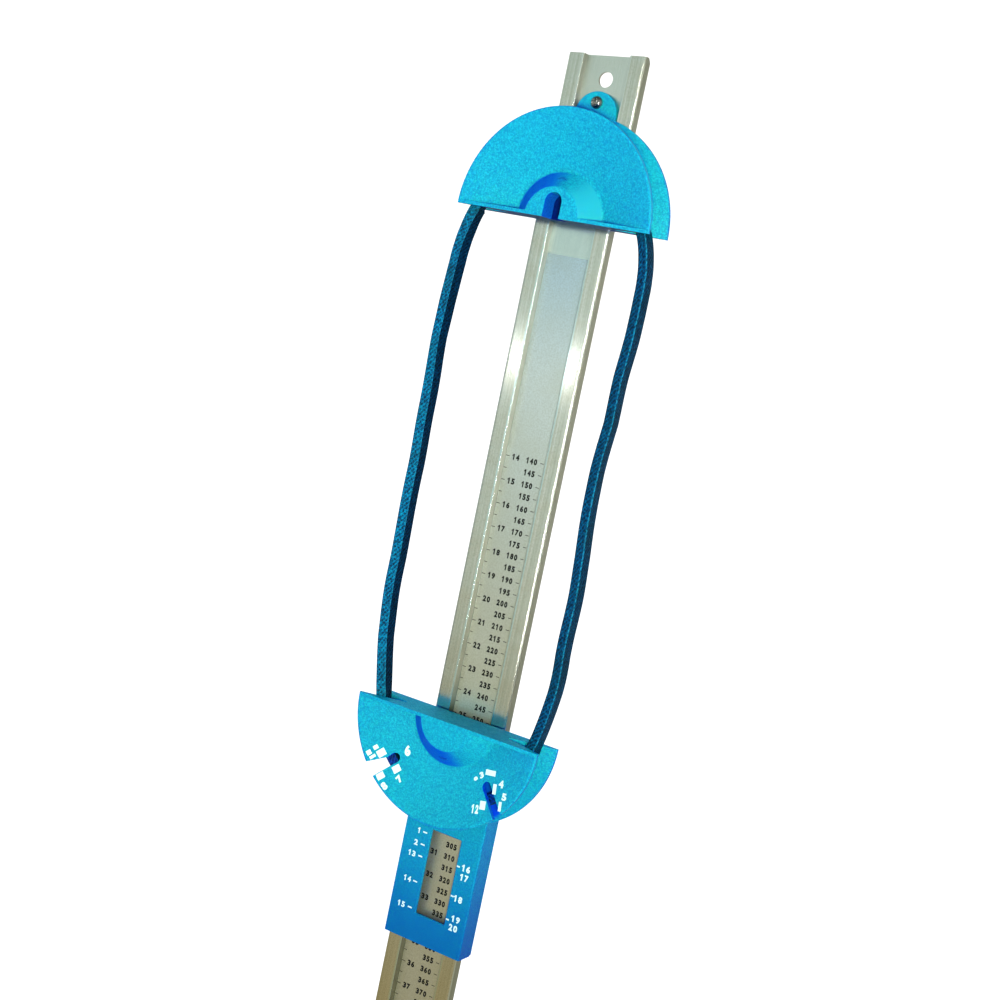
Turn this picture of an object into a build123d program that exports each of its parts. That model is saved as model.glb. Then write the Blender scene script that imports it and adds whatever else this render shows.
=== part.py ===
from build123d import *
import math
import os

# V-belt length gauge: an aluminium channel rail with a printed scale, a fixed
# half-moon sheave near its top and a sliding half-moon sheave with a reading
# window. A slack V-belt is looped round both, as in use.
#
# Frame (mm): +Z up along the rail, +X to the right seen from the front, the
# front faces -Y. Y = 0 is the front face of the rail's web. The origin is the
# centre of the hanging hole, which the whole tool hangs from.

# ---------------------------------------------------------------- rail
rail_w = 44.4            # overall width
rail_len = 1000.0
rail_top = 11.5          # above the hanging hole's centre, over the left lip
top_slope = 0.037        # the saw cut at the top rises to the right
cut_x = -13.0            # where the cut is at rail_top
rail_bot = rail_top - rail_len
web_t = 1.4
wall_t = 1.3
lip_y = -4.1             # front face of the two raised side lips
lip_in = 13.1            # half width between the lips' front faces
chan_hw = 12.9           # half width of the web's flat front, between the lips' inner walls
hang_r = 4.0
m4_clear_r = 2.2         # end stop screw
m3_clear_r = 1.7         # tab screw

# ---------------------------------------------------------------- scale
pitch = 12.7             # rail length for one inch of belt length
z14 = -197.0             # height of the first mark, 14
label_top = -90.4
label_hw = 12.6
label_t = 0.15

# ---------------------------------------------------------------- sheaves
sheave_r = 55.3
front_y = -27.7          # front plane of the rim
back_y = -5.7            # back plane of the rim
rim_front_in = -25.9     # groove side of the front rim
rim_back_in = -7.5       # groove side of the back rim
groove_r = 32.0          # radius at the groove's root
half_angle = 20.0        # slope of each groove wall
tan_g = math.tan(math.radians(half_angle))
split_y = -16.1          # plane where front and back mouldings meet
root_front_y = rim_front_in + (sheave_r - groove_r) * tan_g
hub_r = 15.3             # flat top of the raised hub
hub_y = -27.4
pocket_d = 10.1          # depth of the U-shaped pocket in the fixed sheave's hub
dish_r = 24.6            # foot of the hub's flank
dish_y = -17.7
flat_t = 1.8             # wall that closes the flat side
head_flat = -74.6        # flat lower edge of the fixed sheave
slide_flat = -335.5      # flat upper edge of the sliding sheave at rest
tab_hw = 12.0
tab_y = -4.0
tab_screw_z = -12.5
tab_c = -18.6            # centre of the tab's round end
rear_screw_z = head_flat + 27.5
join_pts = [(-13.0, 8.5), (13.0, 8.5), (0.0, 17.5)]   # from the flat, away from it

# ---------------------------------------------------------------- sleeve
sleeve_hw = 24.15
sleeve_in_hw = 22.55
sleeve_front = back_y
sleeve_in_front = -4.4
sleeve_side_back = 5.3
sleeve_bot = -461.9
sleeve_top = slide_flat - 5.0
cover_back = 7.3
win_x0, win_x1 = -7.3, 11.1
win_z0, win_z1 = -399.9, -446.6
boss_z = [slide_flat - 14.0, sleeve_bot + 10.0]
boss_x = 18.8

# ---------------------------------------------------------------- stop
stop_z = -978.5
stop_hh = 6.0

os.makedirs("parts", exist_ok=True)


def turn_axis(zf, up):
    """Axis of a half sheave; the half lies above zf when up is 1."""
    return Axis((0, 0, zf), (0, -1, 0) if up > 0 else (0, 1, 0))


def wall_sketch_amount(up):
    return flat_t if up > 0 else -flat_t


# ================================================================ rail
with BuildPart() as rail:
    with BuildSketch(Plane.XY.offset(rail_bot)) as prof:
        hw = rail_w / 2
        slope = (lip_in - chan_hw) / -lip_y
        back_in = lip_in + wall_t * math.sqrt(1 + slope ** 2)
        with BuildLine():
            Polyline(
                (hw, web_t), (hw, lip_y), (lip_in, lip_y), (chan_hw, 0),
                (-chan_hw, 0), (-lip_in, lip_y), (-hw, lip_y), (-hw, web_t),
                (-hw + wall_t, web_t), (-hw + wall_t, lip_y + wall_t),
                (-back_in + slope * wall_t, lip_y + wall_t), (-back_in + slope * (web_t - lip_y), web_t),
                (back_in - slope * (web_t - lip_y), web_t), (back_in - slope * wall_t, lip_y + wall_t),
                (hw - wall_t, lip_y + wall_t), (hw - wall_t, web_t), close=True)
        make_face()
        lip_corners = prof.vertices().filter_by(lambda v: abs(v.Y - lip_y) < 0.01)
        fillet(lip_corners.filter_by(lambda v: abs(abs(v.X) - hw) < 0.01), 2.0)
        fillet(prof.vertices().filter_by(
            lambda v: abs(v.Y - lip_y) < 0.01 and abs(abs(v.X) - lip_in) < 0.01), 0.5)
        fillet(prof.vertices().filter_by(
            lambda v: abs(v.Y - lip_y - wall_t) < 0.01 and abs(abs(v.X) - hw + wall_t) < 0.01), 0.8)
    extrude(amount=rail_len + 1.6)
    # the top end is sawn a little out of square
    with BuildSketch(Plane.XZ.offset(10)):
        with BuildLine():
            Polyline((-30, rail_top + top_slope * (-30 - cut_x)), (30, rail_top + top_slope * (30 - cut_x)),
                     (30, rail_top + 6), (-30, rail_top + 6), close=True)
        make_face()
    extrude(amount=-20, mode=Mode.SUBTRACT)
    # hanging hole and the screw holes, through the web
    with BuildSketch(Plane.XZ.offset(-web_t - 1)):
        Circle(hang_r)
        with Locations((0, tab_screw_z)):
            Circle(m3_clear_r)
        with Locations((0, stop_z)):
            Circle(m4_clear_r)
        with Locations((0, rear_screw_z)):
            Circle(1.8)
    extrude(amount=web_t + 2, mode=Mode.SUBTRACT)
    # dressed back corners of the side walls at both ends
    ends = rail.edges().filter_by(
        lambda e: abs(e.center().Y - web_t) < 0.01 and abs(e.center().X) > hw - wall_t - 0.1
        and abs(e.length - wall_t) < 0.05)
    chamfer(ends, 2.2)
rail.part.label = "rail"

# ================================================================ scale label
with BuildPart() as scale_strip:
    with BuildSketch(Plane.XZ.offset(0)):
        with Locations((0, (label_top + rail_bot + 16.5) / 2)):
            Rectangle(2 * label_hw, label_top - rail_bot - 16.5)
    extrude(amount=label_t)
scale_strip.part.label = "scale_strip"


# ================================================================ sheave fronts
def face_profile():
    """Front moulding: dished cone, raised hub, groove wall."""
    Polyline(
        (0, hub_y), (hub_r, hub_y), (dish_r, dish_y), (sheave_r - 1.2, front_y),
        (sheave_r, front_y), (sheave_r, rim_front_in), (groove_r, root_front_y),
        (groove_r, split_y), (0, split_y), close=True)


def corner(sk, x, y):
    """The profile's corner at (x, y), as a list for fillet."""
    return sk.vertices().filter_by(lambda v: abs(v.X - x) < 0.01 and abs(v.Y - y) < 0.01)


def hub_cavity():
    Polyline(
        (0, hub_y + 2.0), (hub_r - 0.9, hub_y + 2.0), (dish_r - 2.4, split_y - 0.9),
        (dish_r - 2.4, split_y), (0, split_y), close=True)


def flat_wall():
    """Wall behind the flat edge, flush with the rim."""
    Polyline(
        (-sheave_r + 0.9, front_y), (sheave_r - 0.9, front_y),
        (groove_r, root_front_y - 0.2), (groove_r, split_y),
        (-groove_r, split_y), (-groove_r, root_front_y - 0.2), close=True)


with BuildPart() as head_face:
    with BuildSketch(Plane.XY.offset(head_flat)) as head_sk:
        with BuildLine():
            face_profile()
        make_face()
        fillet(corner(head_sk, hub_r, hub_y), 1.3)
        fillet(corner(head_sk, dish_r, dish_y), 2.0)
    revolve(axis=turn_axis(head_flat, 1), revolution_arc=180)
    with BuildSketch(Plane.XY.offset(head_flat + flat_t)):
        with BuildLine():
            hub_cavity()
        make_face()
    revolve(axis=turn_axis(head_flat + flat_t, 1), revolution_arc=180, mode=Mode.SUBTRACT)
    with BuildSketch(Plane.XY.offset(head_flat)):
        with BuildLine():
            flat_wall()
        make_face()
    extrude(amount=flat_t)
    # walls of the U-shaped pocket, inside the hub
    with BuildSketch(Plane.XZ.offset(-split_y)):
        with Locations((0, head_flat + 4.15)):
            Rectangle(12.8, 8.3)
        with Locations((0, head_flat + 7.9)):
            Circle(6.4)
    extrude(amount=-hub_y + split_y - 0.4)
    # screw bosses, open to the back
    with BuildSketch(Plane.XZ.offset(-split_y)):
        with Locations(*[(x, head_flat + d) for x, d in join_pts]):
            Circle(3.5)
    extrude(amount=6.6)
    with BuildSketch(Plane.XZ.offset(-split_y)):
        with Locations(*[(x, head_flat + d) for x, d in join_pts]):
            Circle(1.32)
    extrude(amount=5.4, mode=Mode.SUBTRACT)
    # the U-shaped pocket in the hub's front, open at the flat edge
    with BuildSketch(Plane.XZ.offset(-hub_y + 0.5)):
        with Locations((0, head_flat + 3.5)):
            Rectangle(9.6, 8.9)
        with Locations((0, head_flat + 7.9)):
            Circle(4.8)
    extrude(amount=-pocket_d - 0.5, mode=Mode.SUBTRACT)
    # eased rim and flat edge
    rim = head_face.edges().filter_by(GeomType.CIRCLE).filter_by(
        lambda e: abs(e.radius - sheave_r) < 0.01 and abs(e.center().Y - front_y) < 0.2)
    fillet(rim, 0.6)
head_face.part.label = "head_face"

with BuildPart() as slider_face:
    with BuildSketch(Plane.XY.offset(slide_flat)) as slide_sk:
        with BuildLine():
            face_profile()
        make_face()
        fillet(corner(slide_sk, hub_r, hub_y), 1.3)
        fillet(corner(slide_sk, dish_r, dish_y), 2.0)
    revolve(axis=turn_axis(slide_flat, -1), revolution_arc=180)
    with BuildSketch(Plane.XY.offset(slide_flat - flat_t)):
        with BuildLine():
            hub_cavity()
        make_face()
    revolve(axis=turn_axis(slide_flat - flat_t, -1), revolution_arc=180, mode=Mode.SUBTRACT)
    with BuildSketch(Plane.XY.offset(slide_flat)):
        with BuildLine():
            flat_wall()
        make_face()
    extrude(amount=-flat_t)
    with BuildSketch(Plane.XZ.offset(-split_y)):
        with Locations(*[(x, slide_flat - d) for x, d in join_pts]):
            Circle(3.5)
    extrude(amount=6.6)
    with BuildSketch(Plane.XZ.offset(-split_y)):
        with Locations(*[(x, slide_flat - d) for x, d in join_pts]):
            Circle(1.32)
    extrude(amount=5.4, mode=Mode.SUBTRACT)
    # two radial gauge notches in the front flange, one flared on one side, one parallel
    notch_l = Plane(origin=(0, 0, slide_flat), x_dir=(math.cos(math.radians(225.6)), 0, math.sin(math.radians(225.6))), z_dir=(0, -1, 0))
    notch_r = Plane(origin=(0, 0, slide_flat), x_dir=(math.cos(math.radians(-43.1)), 0, math.sin(math.radians(-43.1))), z_dir=(0, -1, 0))
    with BuildSketch(notch_l):
        with BuildLine():
            Polyline((40.4, -2.6), (43.8, -2.4), (54.5, -6.0), (58.0, -7.2),
                     (58.0, 2.4), (43.5, 2.4), (40.4, 2.6), close=True)
        make_face()
        with Locations((40.4, 0)):
            Circle(2.6)
    extrude(amount=30, mode=Mode.SUBTRACT)
    with BuildSketch(notch_r):
        with Locations((48.8, 0)):
            Rectangle(20, 5.3)
        with Locations((38.8, 0)):
            Circle(2.65)
    extrude(amount=30, mode=Mode.SUBTRACT)
    rim = slider_face.edges().filter_by(GeomType.CIRCLE).filter_by(
        lambda e: abs(e.radius - sheave_r) < 0.01 and abs(e.center().Y - front_y) < 0.2)
    fillet(rim, 0.6)
slider_face.part.label = "slider_face"


# ================================================================ sheave backs
def back_profile():
    Polyline(
        (0, split_y), (groove_r, split_y), (sheave_r + 0.3, rim_back_in),
        (sheave_r + 0.3, back_y), (0, back_y), close=True)


def back_cavity():
    """Hollow behind the groove wall, open to the back, 2.2 mm skin."""
    Polyline(
        (27.0, split_y + 2.3), (groove_r - 0.6, split_y + 2.3),
        (sheave_r - 2.0, back_y - 0.2), (sheave_r - 2.0, back_y), (27.0, back_y),
        close=True)


with BuildPart() as head_body:
    with BuildSketch(Plane.XY.offset(head_flat)):
        with BuildLine():
            back_profile()
        make_face()
    revolve(axis=turn_axis(head_flat, 1), revolution_arc=180)
    # hollow sides behind the groove wall; the middle, over the rail, stays solid
    with BuildPart(mode=Mode.PRIVATE) as hollow:
        with BuildSketch(Plane.XY.offset(head_flat + flat_t)):
            with BuildLine():
                back_cavity()
            make_face()
        revolve(axis=turn_axis(head_flat + flat_t, 1), revolution_arc=180)
        with BuildSketch(Plane.XZ.offset(20)):
            with Locations((0, head_flat + 30)):
                Rectangle(2 * (rail_w / 2 + 1.4), 80)
        extrude(amount=-30, mode=Mode.SUBTRACT)
        # radial stiffening ribs left standing in the hollow
        for a in (16, 34, 52, 128, 146, 164):
            rib = Plane(origin=(0, 0, head_flat), x_dir=(math.cos(math.radians(a)), 0, math.sin(math.radians(a))), z_dir=(0, -1, 0))
            with BuildSketch(rib.offset(-back_y - 0.8)):
                with Locations((41, 0)):
                    Rectangle(30, 1.5)
            extrude(amount=12, mode=Mode.SUBTRACT)
    add(hollow.part, mode=Mode.SUBTRACT)
    # pads that seat on the lips and on the web, and the screw tab
    with BuildSketch(Plane.XZ.offset(-back_y)):
        with Locations((0, head_flat + 25)):
            Rectangle(2 * (rail_w / 2 - 0.4), 50)
    extrude(amount=back_y - lip_y)
    with BuildSketch(Plane.XZ.offset(0)):
        with Locations((0, (head_flat + tab_c) / 2)):
            Rectangle(2 * tab_hw, tab_c - head_flat)
        with Locations((0, tab_c)):
            Circle(tab_hw)
    extrude(amount=-tab_y)
    with BuildSketch(Plane.XZ.offset(-tab_y)):
        with Locations((0, head_flat + 25)):
            Rectangle(2 * tab_hw, 50)
    extrude(amount=2.0)
    # M3 tab screw hole, rear screw hole, joining screw holes with counterbores
    with BuildSketch(Plane.XZ.offset(-1)):
        with Locations((0, tab_screw_z)):
            Circle(m3_clear_r)
    extrude(amount=6, mode=Mode.SUBTRACT)
    with BuildSketch(Plane.XZ.offset(0)):
        with Locations((0, rear_screw_z)):
            Circle(1.52)
    extrude(amount=12.5, mode=Mode.SUBTRACT)
    with BuildSketch(Plane.XZ.offset(-1)):
        with Locations(*[(x, head_flat + d) for x, d in join_pts]):
            Circle(1.65)
    extrude(amount=18, mode=Mode.SUBTRACT)
    with BuildSketch(Plane.XZ.offset(-1)):
        with Locations(*[(x, head_flat + d) for x, d in join_pts]):
            Circle(3.3)
    extrude(amount=13.6, mode=Mode.SUBTRACT)
    tab_edge = head_body.edges().filter_by(GeomType.CIRCLE).filter_by(
        lambda e: abs(e.radius - tab_hw) < 0.01 and abs(e.center().Y - tab_y) < 0.05)
    fillet(tab_edge, 0.7)
head_body.part.label = "head_body"

with BuildPart() as slider_body:
    with BuildSketch(Plane.XY.offset(slide_flat)):
        with BuildLine():
            back_profile()
        make_face()
    revolve(axis=turn_axis(slide_flat, -1), revolution_arc=180)
    with BuildPart(mode=Mode.PRIVATE) as hollow_s:
        with BuildSketch(Plane.XY.offset(slide_flat - flat_t)):
            with BuildLine():
                back_cavity()
            make_face()
        revolve(axis=turn_axis(slide_flat - flat_t, -1), revolution_arc=180)
        with BuildSketch(Plane.XZ.offset(20)):
            with Locations((0, slide_flat - 30)):
                Rectangle(2 * (sleeve_hw + 0.9), 80)
        extrude(amount=-30, mode=Mode.SUBTRACT)
        for a in (-16, -34, -50, -130, -146, -164):
            rib = Plane(origin=(0, 0, slide_flat), x_dir=(math.cos(math.radians(a)), 0, math.sin(math.radians(a))), z_dir=(0, -1, 0))
            with BuildSketch(rib.offset(-back_y - 0.8)):
                with Locations((41, 0)):
                    Rectangle(30, 1.5)
            extrude(amount=12, mode=Mode.SUBTRACT)
    add(hollow_s.part, mode=Mode.SUBTRACT)
    # sleeve: front wall and two side walls round the rail
    sleeve_len = sleeve_top - sleeve_bot
    with BuildSketch(Plane.XY.offset(sleeve_bot)) as sleeve_sk:
        with BuildLine():
            Polyline(
                (-sleeve_hw, sleeve_front), (sleeve_hw, sleeve_front),
                (sleeve_hw, sleeve_side_back), (sleeve_in_hw, sleeve_side_back),
                (sleeve_in_hw, sleeve_in_front), (-sleeve_in_hw, sleeve_in_front),
                (-sleeve_in_hw, sleeve_side_back), (-sleeve_hw, sleeve_side_back), close=True)
        make_face()
        fillet(sleeve_sk.vertices().filter_by(
            lambda v: abs(v.Y - sleeve_front) < 0.01), 0.8)
    extrude(amount=sleeve_len)
    # lugs for the cover screws, behind the rail
    with BuildSketch(Plane.XZ.offset(-sleeve_side_back)):
        with Locations(*[(sx * (boss_x + 0.9), z) for sx in (-1, 1) for z in boss_z]):
            Rectangle(2 * (sleeve_in_hw - boss_x - 0.9) + 0.8, 9.0)
    extrude(amount=3.6)
    with BuildSketch(Plane.XZ.offset(-sleeve_side_back)):
        with Locations(*[(sx * boss_x, z) for sx in (-1, 1) for z in boss_z]):
            Circle(1.12)
    extrude(amount=3.6, mode=Mode.SUBTRACT)
    # reading window
    with BuildSketch(Plane.XZ.offset(3)):
        with Locations(((win_x0 + win_x1) / 2, (win_z0 + win_z1) / 2)):
            RectangleRounded(win_x1 - win_x0, win_z0 - win_z1, 0.6)
    extrude(amount=4, mode=Mode.SUBTRACT)
    # its front edge is eased all round
    win_edge = slider_body.edges().filter_by(
        lambda e: abs(e.center().Y - sleeve_front) < 0.01
        and win_x0 - 0.1 < e.center().X < win_x1 + 0.1 and win_z1 - 0.1 < e.center().Z < win_z0 + 0.1)
    chamfer(win_edge, 0.55)
    # joining screw holes with counterbores, from the rail side
    with BuildSketch(Plane.XZ.offset(2)):
        with Locations(*[(x, slide_flat - d) for x, d in join_pts]):
            Circle(1.65)
    extrude(amount=16, mode=Mode.SUBTRACT)
    with BuildSketch(Plane.XZ.offset(2)):
        with Locations(*[(x, slide_flat - d) for x, d in join_pts]):
            Circle(3.3)
    extrude(amount=10.6, mode=Mode.SUBTRACT)
slider_body.part.label = "slider_body"

# ================================================================ sleeve cover
with BuildPart() as sleeve_cover:
    with BuildSketch(Plane.XZ.offset(-cover_back)):
        with Locations((0, (sleeve_top + sleeve_bot) / 2)):
            RectangleRounded(2 * sleeve_hw, sleeve_len, 1.0)
    extrude(amount=cover_back - sleeve_side_back)
    # ridges that keep the rail's back from tilting
    with BuildSketch(Plane.XZ.offset(-sleeve_side_back)):
        with Locations(*[(sx * 12.6, (sleeve_top + sleeve_bot) / 2) for sx in (-1, 1)]):
            Rectangle(2.4, sleeve_len - 16)
    extrude(amount=sleeve_side_back - web_t - 0.3)
    with BuildSketch(Plane.XZ.offset(-cover_back)):
        with Locations(*[(sx * boss_x, z) for sx in (-1, 1) for z in boss_z]):
            Circle(1.35)
    extrude(amount=6, mode=Mode.SUBTRACT)
    with BuildSketch(Plane.XZ.offset(-cover_back)):
        with Locations(*[(sx * boss_x, z) for sx in (-1, 1) for z in boss_z]):
            Circle(2.6)
    extrude(amount=1.2, mode=Mode.SUBTRACT)
    back_edges = sleeve_cover.edges().filter_by(
        lambda e: abs(e.center().Y - cover_back) < 0.01 and
        (abs(abs(e.center().X) - sleeve_hw) < 0.01))
    fillet(back_edges, 0.8)
sleeve_cover.part.label = "sleeve_cover"

with BuildPart() as cover_screws:
    with BuildSketch(Plane.XZ.offset(-cover_back + 0.1)):
        with Locations(*[(sx * boss_x, z) for sx in (-1, 1) for z in boss_z]):
            Circle(2.3)
    extrude(amount=1.1)
    with BuildSketch(Plane.XZ.offset(-cover_back + 1.2)):
        with Locations(*[(sx * boss_x, z) for sx in (-1, 1) for z in boss_z]):
            Circle(1.1)
    extrude(amount=4.2)
    with BuildSketch(Plane.XZ.offset(-cover_back + 0.1)):
        with Locations(*[(sx * boss_x, z) for sx in (-1, 1) for z in boss_z]):
            Rectangle(2.6, 0.6)
            Rectangle(0.6, 2.6)
    extrude(amount=0.6, mode=Mode.SUBTRACT)
cover_screws.part.label = "cover_screws"

# ================================================================ friction brake
mid_z = slide_flat - 62.0
with BuildPart() as friction_spring:
    # bowed leaf, its ends on the cover, its crown on the pad
    with BuildSketch(Plane.YZ.offset(-5)):
        with BuildLine():
            ThreePointArc((5.25, mid_z + 30), (3.25, mid_z), (5.25, mid_z - 30))
            Line((5.25, mid_z - 30), (4.85, mid_z - 30))
            ThreePointArc((4.85, mid_z - 30), (2.85, mid_z), (4.85, mid_z + 30))
            Line((4.85, mid_z + 30), (5.25, mid_z + 30))
        make_face()
    extrude(amount=10)
friction_spring.part.label = "friction_spring"

with BuildPart() as friction_pad:
    with BuildSketch(Plane.XZ.offset(-2.83)):
        with Locations((0, mid_z)):
            RectangleRounded(16, 24, 1.5)
    extrude(amount=1.35)
friction_pad.part.label = "friction_pad"


# ================================================================ fasteners
def pan_profile(seat_y, r, h):
    """Half section of a pan head seated at seat_y, crown towards -Y."""
    Polyline((0, seat_y), (r, seat_y), (r, seat_y - 0.35 * h))
    ThreePointArc((r, seat_y - 0.35 * h), (0.72 * r, seat_y - 0.86 * h), (0, seat_y - h))
    Line((0, seat_y - h), (0, seat_y))


def cross(size, bar):
    Rectangle(size, bar)
    Rectangle(bar, size)


with BuildPart() as head_tab_screw:
    with BuildSketch(Plane.XY.offset(tab_screw_z)):
        with BuildLine():
            pan_profile(tab_y, 3.15, 2.2)
        make_face()
    revolve(axis=Axis((0, 0, tab_screw_z), (0, 1, 0)))
    with BuildSketch(Plane.XZ.offset(-tab_y)):
        with Locations((0, tab_screw_z)):
            Circle(1.5)
    extrude(amount=-9.8)
    with BuildSketch(Plane.XZ.offset(-tab_y + 3.3)):
        with Locations((0, tab_screw_z)):
            cross(3.8, 0.95)
    extrude(amount=-2.3, mode=Mode.SUBTRACT)
head_tab_screw.part.label = "head_tab_screw"

with BuildPart() as head_tab_washer:
    with BuildSketch(Plane.XZ.offset(-web_t)):
        with Locations((0, tab_screw_z)):
            Circle(3.5)
            Circle(1.6, mode=Mode.SUBTRACT)
    extrude(amount=-0.8)
head_tab_washer.part.label = "head_tab_washer"

with BuildPart() as head_tab_nut:
    with BuildSketch(Plane.XZ.offset(-web_t - 0.8)):
        with Locations((0, tab_screw_z)):
            RegularPolygon(3.18, 6)
            Circle(1.52, mode=Mode.SUBTRACT)
    extrude(amount=-2.4)
head_tab_nut.part.label = "head_tab_nut"

with BuildPart() as head_rear_screw:
    # self-tapping, from behind the web into the head
    with BuildSketch(Plane.XZ.offset(-web_t)):
        with Locations((0, rear_screw_z)):
            Circle(3.1)
    extrude(amount=-2.0)
    with BuildSketch(Plane.XZ.offset(-web_t)):
        with Locations((0, rear_screw_z)):
            Circle(1.5)
    extrude(amount=12.5)
    crown = head_rear_screw.edges().filter_by(GeomType.CIRCLE).filter_by(
        lambda e: abs(e.radius - 3.1) < 0.01 and abs(e.center().Y - web_t - 2.0) < 0.01)
    fillet(crown, 0.6)
    with BuildSketch(Plane.XZ.offset(-web_t - 2.0)):
        with Locations((0, rear_screw_z)):
            cross(3.4, 0.8)
    extrude(amount=1.2, mode=Mode.SUBTRACT)
head_rear_screw.part.label = "head_rear_screw"

join_seat_y = -12.6
head_join = [(x, head_flat + d) for x, d in join_pts]
slide_join = [(x, slide_flat - d) for x, d in join_pts]

# three self-tapping screws from the back moulding into the front one
with BuildPart() as head_joining_screws:
    with BuildSketch(Plane.XZ.offset(-join_seat_y)):
        with Locations(*head_join):
            Circle(2.75)
    extrude(amount=-1.9)
    with BuildSketch(Plane.XZ.offset(-join_seat_y)):
        with Locations(*head_join):
            Circle(1.3)
    extrude(amount=join_seat_y - split_y + 4.8)
    with BuildSketch(Plane.XZ.offset(-join_seat_y - 1.9)):
        with Locations(*head_join):
            cross(3.0, 0.7)
    extrude(amount=1.0, mode=Mode.SUBTRACT)
head_joining_screws.part.label = "head_joining_screws"

with BuildPart() as slider_joining_screws:
    with BuildSketch(Plane.XZ.offset(-join_seat_y)):
        with Locations(*slide_join):
            Circle(2.75)
    extrude(amount=-1.9)
    with BuildSketch(Plane.XZ.offset(-join_seat_y)):
        with Locations(*slide_join):
            Circle(1.3)
    extrude(amount=join_seat_y - split_y + 4.8)
    with BuildSketch(Plane.XZ.offset(-join_seat_y - 1.9)):
        with Locations(*slide_join):
            cross(3.0, 0.7)
    extrude(amount=1.0, mode=Mode.SUBTRACT)
slider_joining_screws.part.label = "slider_joining_screws"

# ================================================================ end stop
with BuildPart() as end_stop:
    with BuildSketch(Plane.XZ.offset(0)):
        with Locations((0, stop_z)):
            RectangleRounded(20, 2 * stop_hh, 2.0)
    extrude(amount=6.0)
    with BuildSketch(Plane.XZ.offset(0)):
        with Locations((0, stop_z)):
            Circle(m4_clear_r)
    extrude(amount=6.0, mode=Mode.SUBTRACT)
    top = end_stop.faces().sort_by(Axis.Y)[0]
    chamfer(top.outer_wire().edges(), 0.5)
end_stop.part.label = "end_stop"

with BuildPart() as end_stop_screw:
    with BuildSketch(Plane.XY.offset(stop_z)):
        with BuildLine():
            pan_profile(-6.0, 3.9, 2.7)
        make_face()
    revolve(axis=Axis((0, 0, stop_z), (0, 1, 0)))
    with BuildSketch(Plane.XZ.offset(6.0)):
        with Locations((0, stop_z)):
            Circle(2.0)
    extrude(amount=-12.2)
    with BuildSketch(Plane.XZ.offset(9.3)):
        with Locations((0, stop_z)):
            cross(4.6, 0.9)
    extrude(amount=-2.3, mode=Mode.SUBTRACT)
end_stop_screw.part.label = "end_stop_screw"

with BuildPart() as end_stop_nut:
    with BuildSketch(Plane.XZ.offset(-web_t)):
        with Locations((0, stop_z)):
            RegularPolygon(4.04, 6)
            Circle(2.02, mode=Mode.SUBTRACT)
    extrude(amount=-3.2)
end_stop_nut.part.label = "end_stop_nut"

# ================================================================ the belt
belt_y = -16.75
belt_w = 9.7
belt_h = 5.6
belt_in_w = 5.6
zt = head_flat + 41.2            # belt centre line over the fixed sheave
zb = slide_flat - 43.2           # and, hanging slack, under the sliding one
o = z14                          # heights below are counted from the first mark
belt_pts = [
    (24.6, zt), (-24.6, zt), (-57.3, o + 108.9), (-54.8, o + 0.0), (-55.0, o - 88.0),
    (-39.1, zb), (39.3, zb), (51.6, o - 112.0), (51.6, o - 58.0), (47.4, o - 8.0),
    (54.7, o + 110.0)]
belt_rad = [41.2, 41.2, 54.0, 800.0, 250.0, 45.3, 44.6, 200.0, 200.0, 300.0, 58.0]
with BuildPart() as v_belt:
    with BuildLine() as run:
        FilletPolyline(*[(x, belt_y, z) for x, z in belt_pts], radius=belt_rad, close=True)
    wire = run.wires()[0]
    p0, t0 = wire @ 0, wire % 0
    centre = Vector(0, belt_y, (head_flat + slide_flat) / 2)
    inward = centre - p0
    inward = (inward - t0 * inward.dot(t0)).normalized()
    with BuildSketch(Plane(origin=p0, x_dir=(0, 1, 0), z_dir=t0)) as sec:
        sgn = 1 if Plane(origin=p0, x_dir=(0, 1, 0), z_dir=t0).y_dir.dot(inward) < 0 else -1
        with BuildLine():
            Polyline((-belt_w / 2, sgn * belt_h / 2), (belt_w / 2, sgn * belt_h / 2),
                     (belt_in_w / 2, -sgn * belt_h / 2), (-belt_in_w / 2, -sgn * belt_h / 2), close=True)
        make_face()
    sweep(path=wire)
v_belt.part.label = "v_belt"
print("belt centre line", round(wire.length, 1), "volume", round(v_belt.part.volume, 1),
      "section x length", round((belt_w + belt_in_w) / 2 * belt_h * wire.length, 1))

# ================================================================ export
for piece in (rail, scale_strip, head_body, head_face, head_tab_screw, head_tab_washer,
              head_tab_nut, head_rear_screw, head_joining_screws, slider_body, slider_face,
              slider_joining_screws, sleeve_cover, cover_screws, friction_spring,
              friction_pad, end_stop, end_stop_screw, end_stop_nut, v_belt):
    export_step(piece.part, "parts/" + piece.part.label + ".step")
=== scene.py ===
import math
import random

import bmesh
import bpy
import numpy as np
from mathutils import Matrix, Vector


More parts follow.
